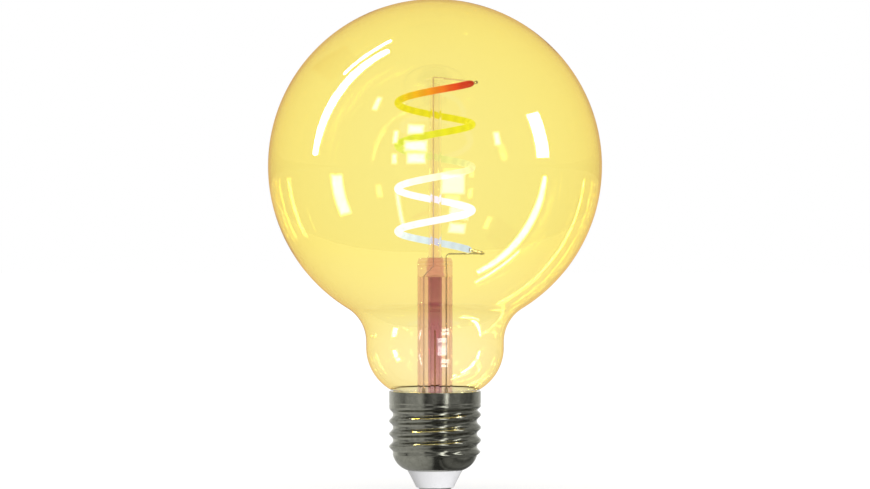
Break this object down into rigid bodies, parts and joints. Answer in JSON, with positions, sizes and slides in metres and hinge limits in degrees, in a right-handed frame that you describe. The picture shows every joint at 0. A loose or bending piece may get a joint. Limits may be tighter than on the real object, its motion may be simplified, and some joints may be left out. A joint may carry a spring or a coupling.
{
  "type": "smart light bulb",
  "caption": "Globe-shaped smart LED bulb with a gold-tinted glass, a spiral filament on a glass stem, and a screw cap that holds its driver and radio.",
  "frame": {"origin": "centre of the flat face of the tip contact, at the very bottom of the bulb", "axes": "+Z along the bulb's axis to the top of the globe; +X towards the side where the filament's ends stand; the pictured front faces -Y"},
  "size_m": [0.095, 0.095, 0.14],
  "materials": {
    "amber_glass": "clear, gold-tinted, glossy",
    "stem_glass": "rose-brown tinted, glossy",
    "rod_glass": "pale tinted, glossy",
    "lead_nickel": "dull nickel",
    "filament_silicone": "smooth phosphor-loaded silicone, lit",
    "filament_polyimide": "amber film",
    "led_chip": "gloss",
    "black_nickel": "black-nickel plated, polished",
    "cement": "matt",
    "insulator_white": "satin white",
    "contact_nickel": "nickel plated",
    "solder": "bright solder",
    "wire_red": "satin insulation",
    "wire_blue": "satin insulation",
    "liner_plastic": "matt",
    "circuit_board": "solder mask",
    "capacitor_film": "shrink film",
    "ferrite": "matt",
    "copper": "enamelled copper",
    "resistor_body": "matt",
    "varistor_blue": "epoxy dip",
    "chip_black": "moulded epoxy",
    "chip_ceramic": "matt",
    "radio_mask": "solder mask",
    "tin_plate": "tin-plated steel",
    "sleeving": "woven glass fibre"
  },
  "bodies": {
    "root": {"globe_glass": "amber_glass", "stem_flare": "stem_glass", "stem_press": "stem_glass", "exhaust_tube": "stem_glass", "centre_rod": "rod_glass", "rod_button": "rod_glass", "upper_lead_wire": "lead_nickel", "lower_lead_wire": "lead_nickel", "upper_filament_terminal": "lead_nickel", "lower_filament_terminal": "lead_nickel", "filament_coat": "filament_silicone", "filament_strip": "filament_polyimide", "filament_led_chips": "led_chip", "screw_shell": "black_nickel", "basing_cement": "cement", "cap_insulator": "insulator_white", "centre_contact": "contact_nickel", "contact_solder": "solder", "live_wire": "wire_red", "neutral_wire": "wire_blue", "shell_weld": "solder", "board_sleeve": "liner_plastic", "driver_board": "circuit_board", "bulk_capacitor": "capacitor_film", "choke_core": "ferrite", "choke_winding": "copper", "fuse_resistor": "resistor_body", "varistor": "varistor_blue", "bridge_rectifier": "chip_black", "driver_chip": "chip_black", "chip_resistors": "chip_black", "chip_capacitors": "chip_ceramic", "radio_board": "radio_mask", "radio_chip": "chip_black", "radio_crystal": "tin_plate", "radio_shield": "tin_plate", "antenna_wire": "copper", "solder_joints": "solder", "lead_sleeves": "sleeving"}
  },
  "joints": []
}
